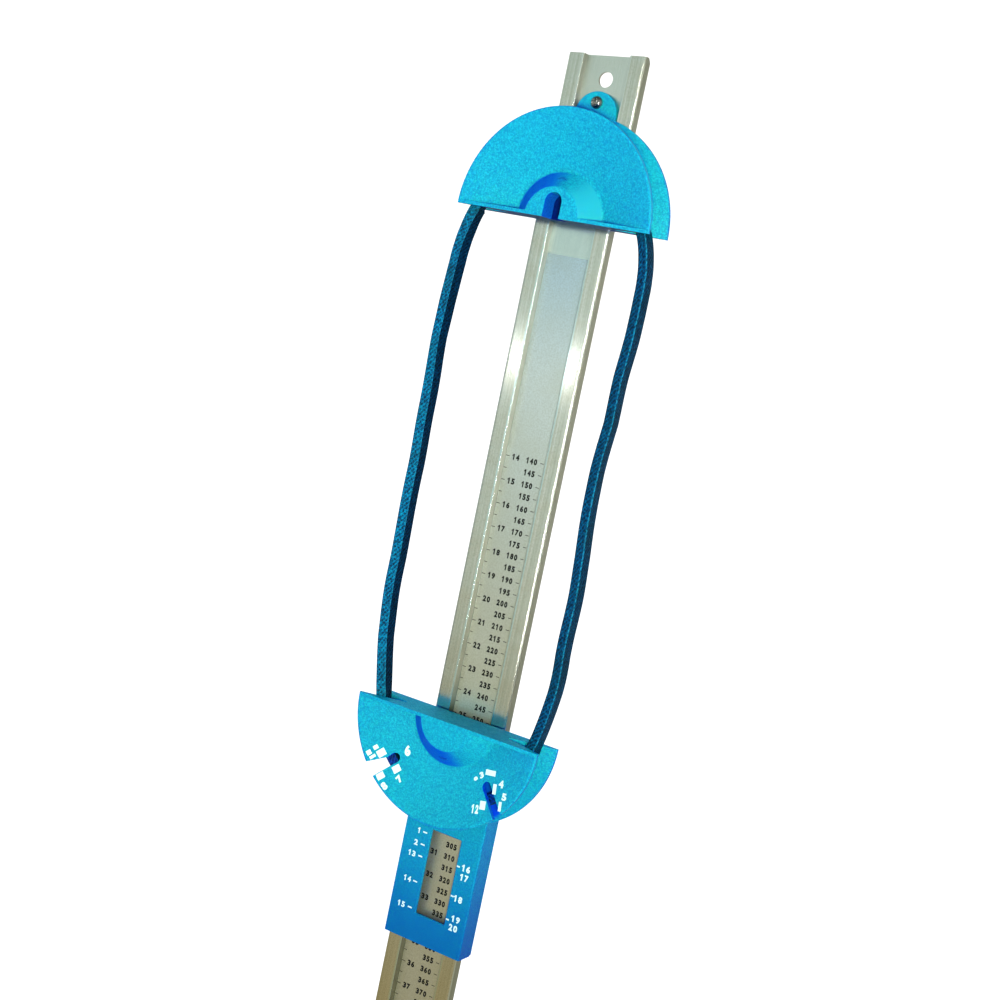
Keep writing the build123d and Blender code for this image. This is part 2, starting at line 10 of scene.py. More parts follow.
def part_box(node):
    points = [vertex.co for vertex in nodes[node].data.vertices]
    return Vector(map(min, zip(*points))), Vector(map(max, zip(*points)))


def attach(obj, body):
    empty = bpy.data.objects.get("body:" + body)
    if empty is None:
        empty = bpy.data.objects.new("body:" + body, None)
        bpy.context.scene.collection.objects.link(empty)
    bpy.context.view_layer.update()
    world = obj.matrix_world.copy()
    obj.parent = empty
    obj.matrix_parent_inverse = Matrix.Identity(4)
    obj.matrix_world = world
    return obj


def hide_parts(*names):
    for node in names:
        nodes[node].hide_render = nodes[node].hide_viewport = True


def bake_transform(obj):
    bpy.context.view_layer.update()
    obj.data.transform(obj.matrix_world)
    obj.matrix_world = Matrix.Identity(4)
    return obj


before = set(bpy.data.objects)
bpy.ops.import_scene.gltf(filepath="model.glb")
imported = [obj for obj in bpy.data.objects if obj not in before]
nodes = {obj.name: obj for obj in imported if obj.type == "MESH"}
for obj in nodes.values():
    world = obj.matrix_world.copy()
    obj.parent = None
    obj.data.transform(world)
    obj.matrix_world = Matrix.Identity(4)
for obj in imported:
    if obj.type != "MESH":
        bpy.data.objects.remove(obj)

random.seed(7)
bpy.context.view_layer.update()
MM = 0.001

# ------------------------------------------------------------------ sizes (mm)
RAIL_TOP, RAIL_BOT = 11.5, -988.5
PITCH = 12.7
Z14 = -197.0
HEAD_FLAT, SLIDE_FLAT = -74.6, -335.5
SHEAVE_R = 55.3
FRONT_Y, BACK_Y = -27.7, -5.7
HUB_R, HUB_Y = 15.3, -27.4
DISH_R, DISH_Y = 24.6, -17.7
BELT_Y = -16.75


# ------------------------------------------------------------------ small helpers
def srgb(r, g, b):
    """0-255 display values to linear."""
    def f(c):
        c /= 255.0
        return c / 12.92 if c <= 0.04045 else ((c + 0.055) / 1.055) ** 2.4
    return (f(r), f(g), f(b), 1.0)


def link(o):
    bpy.context.scene.collection.objects.link(o)
    return o


def new_mesh(name, verts, faces):
    me = bpy.data.meshes.new(name)
    me.from_pydata([tuple(v) for v in verts], [], [tuple(f) for f in faces])
    me.validate()
    me.update()
    return link(bpy.data.objects.new(name, me))


class Nodes:
    """Short way to build a material's node tree."""

    def __init__(self, name):
        self.mat = bpy.data.materials.new(name)
        self.mat.use_nodes = True
        self.nt = self.mat.node_tree
        self.nt.nodes.clear()
        self.out = self.nt.nodes.new("ShaderNodeOutputMaterial")
        self.bsdf = self.nt.nodes.new("ShaderNodeBsdfPrincipled")
        self.nt.links.new(self.bsdf.outputs[0], self.out.inputs[0])

    def n(self, kind, **props):
        node = self.nt.nodes.new(kind)
        for k, v in props.items():
            if k == "inp":
                for i, val in v.items():
                    node.inputs[i].default_value = val
            else:
                setattr(node, k, v)
        return node

    def l(self, a, b):
        self.nt.links.new(a, b)

    def coords(self, scale=(1, 1, 1), rot=(0, 0, 0), uv=None):
        if uv:
            src = self.n("ShaderNodeUVMap", uv_map=uv).outputs[0]
        else:
            src = self.n("ShaderNodeTexCoord").outputs["Object"]
        m = self.n("ShaderNodeMapping")
        m.inputs["Scale"].default_value = scale
        m.inputs["Rotation"].default_value = rot
        self.l(src, m.inputs["Vector"])
        return m.outputs[0]

    def noise(self, vec, scale, detail=3.0, rough=0.55, distortion=0.0):
        t = self.n("ShaderNodeTexNoise")
        t.inputs["Scale"].default_value = scale
        t.inputs["Detail"].default_value = detail
        t.inputs["Roughness"].default_value = rough
        t.inputs["Distortion"].default_value = distortion
        self.l(vec, t.inputs["Vector"])
        return t.outputs["Fac"]

    def ramp(self, fac, stops):
        r = self.n("ShaderNodeValToRGB")
        el = r.color_ramp.elements
        while len(el) > 1:
            el.remove(el[-1])
        el[0].position, el[0].color = stops[0]
        for p, c in stops[1:]:
            e = el.new(p)
            e.color = c
        self.l(fac, r.inputs[0])
        return r.outputs[0]

    def mix(self, fac, a, b, mode="MIX"):
        m = self.n("ShaderNodeMix", data_type="RGBA", blend_type=mode)
        for sock, val in ((m.inputs[0], fac), (m.inputs[6], a), (m.inputs[7], b)):
            if hasattr(val, "is_linked"):
                self.l(val, sock)
            else:
                sock.default_value = val
        return m.outputs[2]

    def math(self, op, a, b=None, clamp=False):
        m = self.n("ShaderNodeMath", operation=op, use_clamp=clamp)
        for sock, val in ((m.inputs[0], a), (m.inputs[1], b)):
            if val is None:
                continue
            if hasattr(val, "is_linked"):
                self.l(val, sock)
            else:
                sock.default_value = val
        return m.outputs[0]

    def bump(self, height, strength, distance, normal=None):
        b = self.n("ShaderNodeBump")
        b.inputs["Strength"].default_value = strength
        b.inputs["Distance"].default_value = distance
        self.l(height, b.inputs["Height"])
        if normal is not None:
            self.l(normal, b.inputs["Normal"])
        return b.outputs[0]

    def set(self, **vals):
        names = {"color": "Base Color", "rough": "Roughness", "metal": "Metallic",
                 "normal": "Normal", "spec": "Specular IOR Level", "aniso": "Anisotropic",
                 "aniso_rot": "Anisotropic Rotation", "tangent": "Tangent",
                 "coat": "Coat Weight", "coat_rough": "Coat Roughness", "sheen": "Sheen Weight",
                 "sheen_rough": "Sheen Roughness", "sheen_tint": "Sheen Tint",
                 "sss": "Subsurface Weight", "sss_scale": "Subsurface Scale",
                 "sss_radius": "Subsurface Radius"}
        for k, v in vals.items():
            sock = self.bsdf.inputs[names[k]]
            if hasattr(v, "is_linked"):
                self.l(v, sock)
            else:
                sock.default_value = v
        return self.mat


# ------------------------------------------------------------------ materials
SSS = 0.35


def blue_plastic(name, base, light, deep, painted_shade_z=None, flank=(), gloss=0.30, painted_shadow_at=None):
    """Injection-moulded styrene: sparked texture, mottled depth, a specular level set by gloss.

    painted_shade_z, as (z_top, z_bottom, colour), paints shade: the colour darkens down the sleeve.
    flank, as (direction, low, high, colour) each, paints shade or light on the flanks that face a way.
    """
    m = Nodes(name)
    v = m.coords()
    fine = m.noise(v, 1250.0, 3.0, 0.62)
    mid = m.noise(v, 860.0, 4.0, 0.66)
    broad = m.noise(v, 20.0, 3.0, 0.5)
    c = m.mix(m.ramp(fine, [(0.38, (0, 0, 0, 1)), (0.64, (1, 1, 1, 1))]), base, light)
    c = m.mix(m.ramp(mid, [(0.46, (0, 0, 0, 1)), (0.68, (0.70, 0.70, 0.70, 1))]), c, deep)
    c = m.mix(m.ramp(broad, [(0.35, (0.0, 0.0, 0.0, 1)), (0.8, (0.22, 0.22, 0.22, 1))]), c, light)
    # painted shade: darker towards the bottom of the sleeve
    if painted_shade_z:
        sep = m.n("ShaderNodeSeparateXYZ")
        m.l(v, sep.inputs[0])
        r = m.n("ShaderNodeMapRange", interpolation_type="SMOOTHSTEP")
        m.l(sep.outputs[2], r.inputs["Value"])
        for k, val in (("From Min", painted_shade_z[0]), ("From Max", painted_shade_z[1]), ("To Min", 0.0), ("To Max", 1.0)):
            r.inputs[k].default_value = val
        c = m.mix(r.outputs[0], c, painted_shade_z[2])
    geo = m.n("ShaderNodeNewGeometry")
    # painted shadow: the colour deepens around a point, where the groove behind the narrow notch lies in shade
    if painted_shadow_at:
        far = m.n("ShaderNodeVectorMath", operation="DISTANCE")
        m.l(v, far.inputs[0])
        far.inputs[1].default_value = painted_shadow_at[0]
        r = m.n("ShaderNodeMapRange", interpolation_type="SMOOTHSTEP")
        m.l(far.outputs["Value"], r.inputs["Value"])
        for k, val in (("From Min", painted_shadow_at[1]), ("From Max", painted_shadow_at[2]), ("To Min", 0.0), ("To Max", 1.0)):
            r.inputs[k].default_value = val
        c = m.mix(r.outputs[0], painted_shadow_at[3], c)
    # painted shade and painted light: the colour changes on faces that point a given way, as light falls on them
    for way, low, high, col in flank:
        d = m.n("ShaderNodeVectorMath", operation="DOT_PRODUCT")
        m.l(geo.outputs["True Normal"], d.inputs[0])
        d.inputs[1].default_value = way
        r = m.n("ShaderNodeMapRange", interpolation_type="SMOOTHSTEP")
        m.l(d.outputs["Value"], r.inputs["Value"])
        for k, val in (("From Min", low), ("From Max", high), ("To Min", 0.0), ("To Max", 1.0)):
            r.inputs[k].default_value = val
        c = m.mix(r.outputs[0], c, col)
    rough = m.ramp(mid, [(0.3, (0.36, 0.36, 0.36, 1)), (0.75, (0.50, 0.50, 0.50, 1))])
    nrm = m.bump(m.math("ADD", fine, m.math("MULTIPLY", mid, 0.6)), 0.30, 0.0004)
    return m.set(color=c, rough=rough, normal=nrm, spec=gloss, sss=SSS, sss_scale=0.004,
                 sss_radius=(0.05, 0.30, 1.0))


def along_z(m, sign=1.0):
    """Direction across the drawing lines on any face of the rail: normal x Z."""
    geo = m.n("ShaderNodeNewGeometry")
    x = m.n("ShaderNodeVectorMath", operation="CROSS_PRODUCT")
    m.l(geo.outputs["Normal"], x.inputs[0])
    x.inputs[1].default_value = (0.0, 0.0, 1.0)
    return x.outputs[0]


def aluminium(name):
    """Extruded aluminium: die lines and fine brushing run along the rail."""
    m = Nodes(name)
    streak_v = m.coords(scale=(1.0, 1.0, 0.006))
    fine = m.noise(streak_v, 5200.0, 4.0, 0.65)
    wide = m.noise(streak_v, 900.0, 3.0, 0.6)
    cloud = m.noise(m.coords(), 60.0, 4.0, 0.55)
    grain = m.noise(m.coords(), 1500.0, 2.0, 0.6)
    c = m.mix(m.ramp(wide, [(0.3, (0, 0, 0, 1)), (0.7, (1, 1, 1, 1))]),
              srgb(220, 224, 214), srgb(238, 240, 234))
    c = m.mix(m.ramp(cloud, [(0.45, (0, 0, 0, 1)), (0.8, (0.35, 0.35, 0.35, 1))]), c, srgb(214, 204, 178))
    c = m.mix(m.ramp(grain, [(0.50, (0, 0, 0, 1)), (0.8, (0.45, 0.45, 0.45, 1))]), c, srgb(170, 164, 146))
    # the side walls of the channel are rougher than the fronts and painted darker, as shade
    sepn = m.n("ShaderNodeSeparateXYZ")
    m.l(m.n("ShaderNodeNewGeometry").outputs["Normal"], sepn.inputs[0])
    wall = m.math("GREATER_THAN", m.math("ABSOLUTE", sepn.outputs[0]), 0.86)
    c = m.mix(m.math("MULTIPLY", wall, 0.7), c, srgb(176, 176, 160))
    # the web between the lips is lighter than the lips, and bluish below its top end
    sepo = m.n("ShaderNodeSeparateXYZ")
    m.l(m.coords(), sepo.inputs[0])
    web = m.math("MULTIPLY", m.math("LESS_THAN", m.math("ABSOLUTE", sepo.outputs[0]), 0.0142),
                 m.math("LESS_THAN", sepn.outputs[1], -0.5))
    c = m.mix(m.math("MULTIPLY", web, 0.6), c, srgb(240, 247, 244))
    r = m.n("ShaderNodeMapRange", interpolation_type="SMOOTHSTEP")
    m.l(sepo.outputs[2], r.inputs["Value"])
    for k, val in (("From Min", 0.0), ("From Max", -0.06), ("To Min", 0.0), ("To Max", 1.0)):
        r.inputs[k].default_value = val
    c = m.mix(m.math("MULTIPLY", web, r.outputs[0]), c, (0.90, 1.0, 1.04, 1), "MULTIPLY")
    rough = m.ramp(cloud, [(0.25, (0.22, 0.22, 0.22, 1)), (0.8, (0.27, 0.27, 0.27, 1))])
    rough = m.mix(wall, rough, (0.34, 0.34, 0.34, 1))
    nrm = m.bump(fine, 0.03, 0.0002)
    return m.set(color=c, metal=1.0, rough=rough, normal=nrm, aniso=1.0,
                 tangent=along_z(m))


def label_film(name):
    """Satin metallic film on the web, faintly grained along its length."""
    m = Nodes(name)
    v = m.coords()
    along = m.noise(m.coords(scale=(1, 1, 0.02)), 2600.0, 3.0, 0.6)
    speck = m.noise(v, 1300.0, 3.0, 0.7)
    cloud = m.noise(v, 45.0, 3.0, 0.5)
    c = m.mix(m.ramp(speck, [(0.35, (0, 0, 0, 1)), (0.75, (1, 1, 1, 1))]),
              srgb(226, 228, 219), srgb(200, 201, 188))
    c = m.mix(m.ramp(cloud, [(0.4, (0, 0, 0, 1)), (0.8, (0.5, 0.5, 0.5, 1))]), c, srgb(210, 208, 190))
    # bluer towards its upper end
    sep = m.n("ShaderNodeSeparateXYZ")
    m.l(v, sep.inputs[0])
    for lo, hi, col in ((-0.36, -0.13, (0.90, 1.0, 1.13, 1)), (-0.16, -0.09, (0.84, 0.95, 1.06, 1))):
        r = m.n("ShaderNodeMapRange", interpolation_type="SMOOTHSTEP")
        m.l(sep.outputs[2], r.inputs["Value"])
        for k, val in (("From Min", lo), ("From Max", hi), ("To Min", 0.0), ("To Max", 1.0)):
            r.inputs[k].default_value = val
        c = m.mix(r.outputs[0], c, col, "MULTIPLY")
    rough = m.ramp(along, [(0.3, (0.38, 0.38, 0.38, 1)), (0.75, (0.46, 0.46, 0.46, 1))])
    nrm = m.bump(along, 0.05, 0.0002)
    return m.set(color=c, metal=0.9, rough=rough, normal=nrm, spec=0.5, aniso=0.6,
                 tangent=along_z(m))


def print_ink(name, col):
    m = Nodes(name)
    v = m.coords()
    wear = m.noise(v, 2300.0, 3.0, 0.7)
    c = m.mix(m.ramp(wear, [(0.62, (0, 0, 0, 1)), (0.78, (0.5, 0.5, 0.5, 1))]), col,
              (min(1, col[0] + 0.12), min(1, col[1] + 0.12), min(1, col[2] + 0.12), 1))
    return m.set(color=c, rough=0.5, spec=0.4)


def steel(name, tone=(188, 188, 186), rough=(0.22, 0.36)):
    m = Nodes(name)
    v = m.coords()
    a = m.noise(v, 1400.0, 4.0, 0.6)
    b = m.noise(v, 300.0, 3.0, 0.6)
    c = m.mix(m.ramp(a, [(0.3, (0, 0, 0, 1)), (0.75, (1, 1, 1, 1))]),
              srgb(*tone), srgb(*[max(0, t - 34) for t in tone]))
    r = m.ramp(b, [(0.3, (rough[0],) * 3 + (1,)), (0.75, (rough[1],) * 3 + (1,))])
    return m.set(color=c, metal=1.0, rough=r, normal=m.bump(a, 0.08, 0.0002))


def felt(name):
    m = Nodes(name)
    v = m.coords()
    a = m.noise(v, 2200.0, 5.0, 0.75, 1.0)
    c = m.mix(a, srgb(26, 27, 30), srgb(60, 62, 66))
    return m.set(color=c, rough=0.95, normal=m.bump(a, 0.7, 0.0006), sheen=0.4, sheen_rough=0.6)


def belt_wrap(name, tone=(1.0, 1.0, 1.0), edge_highlight=0.0, gloss=0.4):
    """Rubberised fabric wrap: a bias weave, worked from the belt's own length and girth."""
    m = Nodes(name)
    obj = m.coords()

    def shade(r, g, b):
        return srgb(r * tone[0], g * tone[1], b * tone[2])

    def threads(angle, pitch):
        v = m.coords(scale=(1, 1, 1), rot=(0, 0, math.radians(angle)), uv="belt")
        w = m.n("ShaderNodeTexWave", wave_type="BANDS", bands_direction="X", wave_profile="SIN")
        w.inputs["Scale"].default_value = 0.3142 / pitch
        w.inputs["Distortion"].default_value = 0.9
        w.inputs["Detail"].default_value = 1.5
        w.inputs["Detail Scale"].default_value = 2.0
        m.l(v, w.inputs["Vector"])
        return w.outputs["Fac"]
    w1, w2 = threads(50, 1.7), threads(-50, 1.7)
    weave = m.math("MAXIMUM", w1, m.math("MULTIPLY", w2, 0.7))
    pocket = m.math("MULTIPLY", m.math("SUBTRACT", 1.0, w1), m.math("SUBTRACT", 1.0, w2))
    worn = m.noise(obj, 760.0, 5.0, 0.76)
    broad = m.noise(obj, 70.0, 3.0, 0.5)
    fuzz = m.noise(obj, 3200.0, 3.0, 0.7)
    c = m.mix(m.ramp(weave, [(0.40, (0, 0, 0, 1)), (0.98, (1, 1, 1, 1))]),
              shade(0, 58, 90), shade(0, 104, 150))
    c = m.mix(m.ramp(worn, [(0.50, (0, 0, 0, 1)), (0.66, (0.95, 0.95, 0.95, 1))]), c, shade(8, 146, 182))
    c = m.mix(m.ramp(worn, [(0.34, (0.95, 0.95, 0.95, 1)), (0.47, (0, 0, 0, 1))]), c, shade(0, 18, 34))
    c = m.mix(m.ramp(broad, [(0.42, (0, 0, 0, 1)), (0.70, (0.45, 0.45, 0.45, 1))]), c, shade(2, 74, 86))
    c = m.mix(m.ramp(pocket, [(0.5, (0, 0, 0, 1)), (0.9, (0.40, 0.40, 0.40, 1))]), c, shade(0, 16, 32))
    # painted highlight: lighter patches along the belt corners that face the light
    if edge_highlight:
        rub = m.ramp(m.noise(obj, 520.0, 4.0, 0.72), [(0.40, (0.05, 0.05, 0.05, 1)), (0.62, (1, 1, 1, 1))])
        c = m.mix(m.math("MULTIPLY", rub, edge_highlight), c, srgb(52, 146, 188))
    rough = m.ramp(worn, [(0.35, (0.56, 0.56, 0.56, 1)), (0.75, (0.34, 0.34, 0.34, 1))])
    h = m.math("ADD", weave, m.math("MULTIPLY", fuzz, 0.35))
    nrm = m.bump(h, 0.42, 0.0005)
    return m.set(color=c, rough=rough, normal=nrm, spec=gloss, sheen=0.04, sheen_rough=0.4,
                 sheen_tint=srgb(60, 160, 220))


def pale_floor(name):
    """Plain matt white floor, as bright as the backdrop that it runs into."""
    m = Nodes(name)
    a = m.noise(m.coords(), 6.0, 4.0, 0.5)
    c = m.mix(a, (0.05, 0.05, 0.05, 1), (0.07, 0.07, 0.07, 1))
    m.bsdf.inputs["Emission Color"].default_value = (1, 1, 1, 1)
    m.bsdf.inputs["Emission Strength"].default_value = 1.0
    return m.set(color=c, rough=0.85, spec=0.0)


BLUES = (srgb(18, 137, 168), srgb(30, 170, 196), srgb(10, 106, 164))
M_BLUE = blue_plastic("blue_moulding", *BLUES)
# painted shade on the hub flanks that face left and up, and painted light on those that face right
M_BLUE_HEAD = blue_plastic("blue_moulding_head", *BLUES,
                           flank=(((-0.88, 0.0, 0.47), 0.20, 0.58, srgb(10, 100, 204)),
                                  ((0.95, 0.0, 0.2), 0.30, 0.60, srgb(38, 156, 184))))
# painted shade on the hub flanks that face left and down, and a painted shadow in the groove behind the narrow
# notch
M_BLUE_SLIDE = blue_plastic("blue_moulding_slide", *BLUES,
                            flank=(((-0.70, 0.0, -0.71), 0.14, 0.50, srgb(8, 98, 204)),),
                            painted_shadow_at=((0.0217, -0.010, (SLIDE_FLAT - 35.0) * MM), 0.011, 0.012, srgb(0, 70, 224)))
# painted light: flats that face up take a slightly greener blue, and a low specular level
M_BLUE_LAND = blue_plastic("blue_moulding_land", srgb(16, 136, 160), srgb(30, 160, 182), srgb(8, 104, 142),
                           gloss=0.05)
# painted shade: deep blue for the walls of the U pocket and of the notches
M_BLUE_POCKET_SHADE = blue_plastic("blue_moulding_pocket_shade", srgb(12, 90, 188), srgb(16, 106, 202), srgb(6, 68, 170))
# painted shadow: navy for the floor of the U pocket
M_BLUE_FLOOR_SHADOW = blue_plastic("blue_moulding_floor_shadow", srgb(0, 24, 96), srgb(0, 34, 112), srgb(0, 16, 80))
# painted shade for the boss tips in the hub cones
M_BLUE_TIP_SHADE_H = blue_plastic("blue_moulding_tip_shade_head", srgb(8, 96, 152), srgb(10, 104, 160), srgb(6, 88, 146))
M_BLUE_TIP_SHADE_S = blue_plastic("blue_moulding_tip_shade_slide", srgb(4, 72, 156), srgb(6, 80, 164), srgb(2, 64, 150))
# painted shade for flats that face down
M_BLUE_UNDER_SHADE = blue_plastic("blue_moulding_underside_shade", srgb(6, 72, 98), srgb(10, 92, 120), srgb(4, 54, 84),
                            gloss=0.05)
# painted shade for the walls of the belt groove
M_BLUE_GROOVE_SHADE = blue_plastic("blue_moulding_groove_shade", srgb(0, 70, 214), srgb(0, 92, 226), srgb(0, 48, 190))
# painted shade that darkens the sleeve towards its bottom, and a painted shadow in the groove behind the narrow
# notch
M_BLUE_BODY = blue_plastic("blue_moulding_body", srgb(16, 138, 176), srgb(28, 160, 194), srgb(6, 108, 168),
                           painted_shade_z=(-0.39, -0.47, srgb(8, 108, 170)),
                           painted_shadow_at=((0.0217, -0.010, (SLIDE_FLAT - 35.0) * MM), 0.011, 0.014, srgb(0, 74, 214)))
M_BLUE_RECESS_SHADE = blue_plastic("blue_moulding_recess_shade", srgb(0, 58, 150), srgb(0, 78, 172), srgb(0, 36, 128))
M_ALU = aluminium("rail_aluminium")
M_LABEL = label_film("scale_film")
M_INK = print_ink("black_ink", srgb(22, 24, 26))
M_WHITE = print_ink("white_ink", srgb(206, 232, 232))
M_STEEL = steel("zinc_steel")
M_SPRING = steel("spring_steel", (150, 150, 156), (0.18, 0.30))
M_FELT = felt("felt")
M_BELT = belt_wrap("belt_wrap")
M_BELT_IN = belt_wrap("belt_wrap_inner", (0.2, 0.40, 0.50), gloss=0.12)
M_BELT_OUT = belt_wrap("belt_wrap_back", (0.25, 0.60, 0.62), gloss=0.10)
# painted shade for belt corners that face away from the light
M_BELT_SHADED_CORNER = belt_wrap("belt_wrap_shaded_corner", (0.4, 0.36, 0.36), gloss=0.15)
# painted highlight for belt corners that face the light
M_BELT_LIT_CORNER = belt_wrap("belt_wrap_lit_corner", (0.9, 0.9, 0.9), 0.38, gloss=0.2)
# painted shade for the right run's flanks
M_BELT_SHADED_FLANK = belt_wrap("belt_wrap_shaded_flank", (0.6, 0.70, 0.78), gloss=0.25)
# painted shade for the belt inside the slider's groove
M_BELT_GROOVE_SHADE = belt_wrap("belt_wrap_groove_shaded", (0.5, 0.56, 1.10))
M_FLOOR = pale_floor("pale_floor")


def dress(name, mat, smooth=32.0, bevel=None):
    o = nodes[name]
    o.data.materials.clear()
    o.data.materials.append(mat)
    o.data.polygons.foreach_set("use_smooth", [True] * len(o.data.polygons))
    o.data.set_sharp_from_angle(angle=math.radians(smooth))
    if bevel:
        b = o.modifiers.new("edge", "BEVEL")
        b.width = bevel * MM
        b.segments = 2
        b.limit_method = "ANGLE"
        b.angle_limit = math.radians(40)
        b.harden_normals = True
        b.miter_outer = "MITER_ARC"
    return o


dress("rail", M_ALU)
dress("scale_strip", M_LABEL)
for n, m in (("head_face", M_BLUE_HEAD), ("slider_face", M_BLUE_SLIDE), ("head_body", M_BLUE)):
    dress(n, m)
for n in ("slider_body", "sleeve_cover", "end_stop"):
    dress(n, M_BLUE_BODY)


def recess(name, inside, mat=M_BLUE_RECESS_SHADE):
    """Give the walls and floors of a recess a deeper blue, as painted shade."""
    me = nodes[name].data
    me.materials.append(mat)
    for poly in me.polygons:
        c = poly.center / MM
        if inside(c.x, c.y, c.z, poly.normal):
            poly.material_index = len(me.materials) - 1


# the U pocket in the fixed sheave's hub: painted shade, deep blue on its walls and a navy painted shadow on its
# floor
recess("head_face", lambda x, y, z, n: y > -27.2 and y < -16.9 and z < HEAD_FLAT + 12.9 and
       (abs(x) <= 4.85) and (math.hypot(x, z - HEAD_FLAT - 7.9) < 4.86 or z < HEAD_FLAT + 7.9)
       and not n.z < -0.9, M_BLUE_POCKET_SHADE)
recess("head_face", lambda x, y, z, n: -18.2 < y < -16.6 and z < HEAD_FLAT + 12.9 and
       abs(x) <= 4.85 and n.y < -0.9, M_BLUE_FLOOR_SHADOW)
# the tip of a screw boss shows through the cone below each hub; its front faces are painted a darker blue, as
# painted shade matching the painted shade on the cone
recess("head_face", lambda x, y, z, n: -26.9 < y < -19.0 and n.y < -0.95 and
       15.6 < math.hypot(x, z - HEAD_FLAT) < 24.4, M_BLUE_TIP_SHADE_H)
recess("slider_face", lambda x, y, z, n: -26.9 < y < -19.0 and n.y < -0.95 and
       15.6 < math.hypot(x, z - SLIDE_FLAT) < 24.4, M_BLUE_TIP_SHADE_S)


def in_notch(x, y, z, n):
    """Walls of the two gauge notches: faces that look across the notch."""
    u, v = x, z - SLIDE_FLAT
    for deg, half, end in ((225.6, 7.4, 37.6), (-43.1, 2.8, 36.0)):
        a = math.radians(deg)
        r = u * math.cos(a) + v * math.sin(a)
        w = -u * math.sin(a) + v * math.cos(a)
        if r > end and abs(w) < half and abs(n.y) < 0.2 and math.hypot(u, v) < 55.0:
            return True
    return False


# painted shade: the walls of the two notches take the pocket's deep blue
recess("slider_face", in_notch, M_BLUE_POCKET_SHADE)


def repaint(name, mat, inside):
    me = nodes[name].data
    me.materials.append(mat)
    for poly in me.polygons:
        c = poly.center / MM
        if inside(c.x, c.y, c.z, poly.normal):
            poly.material_index = len(me.materials) - 1


# the flats at the parting plane are moulded against plain steel; those that face up take a low specular level
# and a slightly greener blue, painted for the light that falls on them from above
for n in ("slider_face", "slider_body"):
    repaint(n, M_BLUE_LAND, lambda x, y, z, n: n.z > 0.9 and abs(z - SLIDE_FLAT) < 1.5)
# painted shade: the flats under the head, which face down, take a dark blue
for n in ("head_face", "head_body"):
    repaint(n, M_BLUE_UNDER_SHADE, lambda x, y, z, n: n.z < -0.9 and abs(z - HEAD_FLAT) < 1.5)
# the walls of the belt groove are painted a deep blue, as shade
for n in ("slider_face", "slider_body"):
    repaint(n, M_BLUE_GROOVE_SHADE, lambda x, y, z, n: math.hypot(x, z - SLIDE_FLAT) > 33.0 and
            z < SLIDE_FLAT - 3.0 and -23.5 < y < -7.0 and
            -0.5 < n.y < (0.5 if y > -16.0 else 1.1) and y < -10.0 and
            math.hypot(x, z - SLIDE_FLAT) < 48.0)
for n in ("head_tab_screw", "head_tab_washer", "head_tab_nut", "head_rear_screw",
          "head_joining_screws", "slider_joining_screws", "cover_screws",
          "end_stop_screw", "end_stop_nut"):
    dress(n, M_STEEL)
dress("friction_spring", M_SPRING)
dress("friction_pad", M_FELT)


# ------------------------------------------------------------------ printed scale
def text_mesh(body, size, bold=0.0, xscale=1.0):
    """Outline of a short text in mm on the XZ plane, centred, as (verts, faces)."""
    cu = bpy.data.curves.new("t", "FONT")
    cu.body = body
    cu.size = size
    cu.offset = bold
    cu.align_x = "CENTER"
    cu.align_y = "CENTER"
    cu.resolution_u = 3
    ob = link(bpy.data.objects.new("t", cu))
    bpy.context.view_layer.update()
    dg = bpy.context.evaluated_depsgraph_get()
    me = bpy.data.meshes.new_from_object(ob.evaluated_get(dg))
    vs = [(v.co.x * xscale, v.co.y) for v in me.vertices]
    fs = [tuple(p.vertices) for p in me.polygons]
    bpy.data.meshes.remove(me)
    bpy.data.objects.remove(ob)
    bpy.data.curves.remove(cu)
    return vs, fs


ONE = [(0.34, 0.0), (0.70, 0.0), (0.70, 1.0), (0.44, 1.0), (0.04, 0.76), (0.04, 0.54), (0.34, 0.70)]
DIGITS = {}


def digit(ch, bold):
    """Outline of a digit in a unit box, as (verts, faces)."""
    if (ch, bold) not in DIGITS:
        if ch == "1":
            DIGITS[ch, bold] = (ONE, [(0, 1, 2, 3, 6), (3, 4, 5, 6)])
        else:
            vs, fs = text_mesh(ch, 1.0, bold)
            x0, x1 = min(a for a, b in vs), max(a for a, b in vs)
            z0, z1 = min(b for a, b in vs), max(b for a, b in vs)
            DIGITS[ch, bold] = ([((a - x0) / (x1 - x0), (b - z0) / (z1 - z0)) for a, b in vs], fs)
    return DIGITS[ch, bold]


def number_mesh(body, height, width, bold=0.035, gap=0.24):
    """A whole number, centred on the origin, in mm; width is the whole word's."""
    w = width / (len(body) + gap * (len(body) - 1))
    vs, fs = [], []
    for i, ch in enumerate(body):
        dv, df = digit(ch, bold)
        k = len(vs)
        x0 = -width / 2 + i * w * (1 + gap)
        vs += [(x0 + a * w, (b - 0.5) * height) for a, b in dv]
        fs += [tuple(n + k for n in f) for f in df]
    return vs, fs


